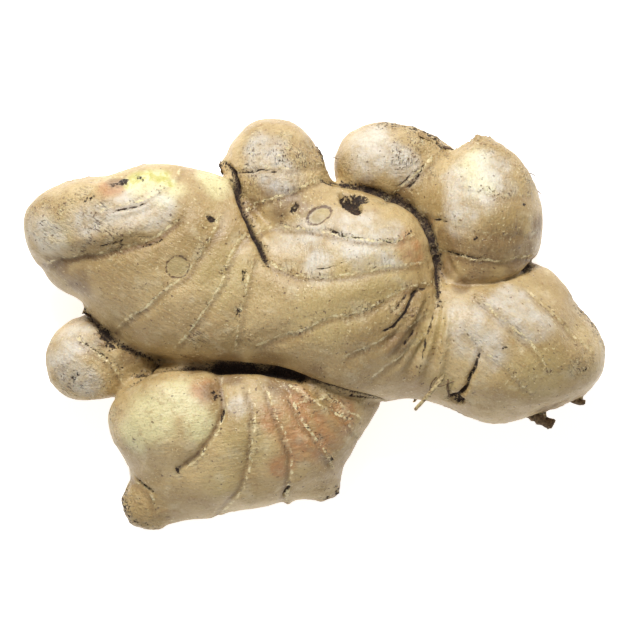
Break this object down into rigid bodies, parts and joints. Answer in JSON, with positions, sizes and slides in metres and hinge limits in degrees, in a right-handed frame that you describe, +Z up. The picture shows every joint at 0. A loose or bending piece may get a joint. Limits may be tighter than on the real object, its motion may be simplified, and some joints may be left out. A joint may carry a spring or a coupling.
{
  "type": "ginger root",
  "caption": "Fresh ginger rhizome, a flat branching hand of swollen fingers and rounded knobs in ringed tan skin, lying on its broad side.",
  "frame": {"origin": "centre of the hand's outline, on the surface that it rests on", "axes": "+Z up; +X along the hand, from the long west finger to the blunt east lobe; +Y towards the knobs behind"},
  "size_m": [0.1406, 0.0998, 0.0365],
  "materials": {
    "skin": "thin satin tan skin with pale leaf-scar rings, corky dark specks and soil in the creases"
  },
  "bodies": {
    "root": {"rhizome": "skin"}
  },
  "joints": []
}
